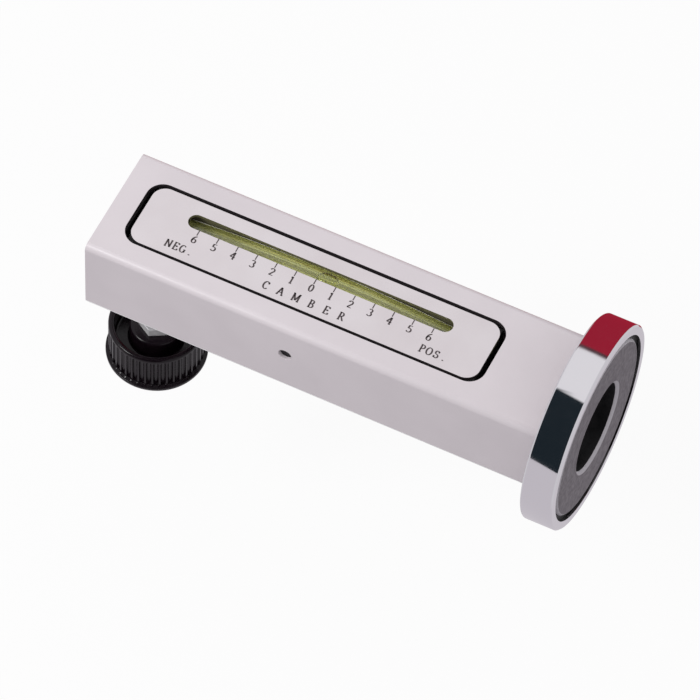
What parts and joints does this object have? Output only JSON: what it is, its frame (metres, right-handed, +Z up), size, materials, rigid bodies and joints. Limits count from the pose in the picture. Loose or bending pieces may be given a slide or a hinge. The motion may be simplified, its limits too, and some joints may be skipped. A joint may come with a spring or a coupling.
{
  "type": "camber caster gauge",
  "caption": "Magnetic wheel alignment gauge: a rectangular tube with a pot magnet on its end, rocking bubble scales for camber and caster, and a knurled adjusting knob.",
  "frame": {"origin": "centre of the magnet's contact face", "axes": "+X out of the magnet's contact face, along the tube; +Z up, out of the camber scale; the knob hangs below, on -Z"},
  "size_m": [0.1652, 0.067, 0.0906],
  "materials": {
    "painted_tube": "satin light grey paint",
    "painted_plate": "satin light grey paint with printed marks",
    "black_cap": "moulded",
    "carrier_plastic": "moulded",
    "knob_plastic": "moulded",
    "chrome_cup": "polished",
    "ferrite": "ground",
    "potting": "cast resin",
    "aluminium_block": "machined",
    "zinc_steel": "zinc plated",
    "black_steel": "black oxide",
    "spring_steel": "drawn wire",
    "brass": "turned",
    "clear_glass": "polished",
    "vial_liquid": "clear liquid",
    "black_rubber": "moulded",
    "nylon": "moulded"
  },
  "bodies": {
    "housing": {"body_tube": "painted_tube", "end_cap": "black_cap", "level_vial_glass": "clear_glass", "level_vial_liquid": "vial_liquid", "mount_block": "aluminium_block", "block_screws": "zinc_steel", "magnet_cup": "chrome_cup", "magnet_ring": "ferrite", "magnet_potting": "potting", "magnet_screw": "black_steel", "pivot_pin": "black_steel", "adjuster_bush": "brass", "bush_nut": "zinc_steel", "return_spring_seat": "brass", "return_spring": "spring_steel", "adjuster_spring": "spring_steel"},
    "carrier": {"carrier_frame": "carrier_plastic", "pivot_bush": "brass", "camber_scale_plate": "painted_plate", "camber_vial_glass": "clear_glass", "camber_vial_liquid": "vial_liquid", "camber_vial_plugs": "black_rubber", "caster_scale_plate": "painted_plate", "caster_vial_glass": "clear_glass", "caster_vial_liquid": "vial_liquid", "caster_vial_plugs": "black_rubber"},
    "shoe": {"thrust_shoe": "nylon"},
    "knob": {"adjuster_stud": "zinc_steel", "knob": "knob_plastic", "jam_nut": "zinc_steel"}
  },
  "joints": [
    {"name": "carrier_tilt", "type": "hinge", "parent": "housing", "child": "carrier", "pos_m": [-0.0956, 0, 0.0018], "axis": [0, 1, 0], "range_deg": [-3.3, 3.3], "deforming": ["return_spring"]},
    {"name": "screw_travel", "type": "slide", "parent": "housing", "child": "shoe", "axis": [0, 0, 1], "range_m": [-0.003, 0.003], "deforming": ["adjuster_spring"]},
    {"name": "knob_turn", "type": "hinge", "parent": "shoe", "child": "knob", "pos_m": [-0.1491, 0, -0.045], "axis": [0, 0, 1], "range_deg": [-1080, 1080]}
  ],
  "couplings": [
    {"joint": "knob_turn", "follows": "screw_travel", "rad_per_m": 6283.2},
    {"joint": "carrier_tilt", "follows": "screw_travel", "rad_per_m": 18.692}
  ]
}
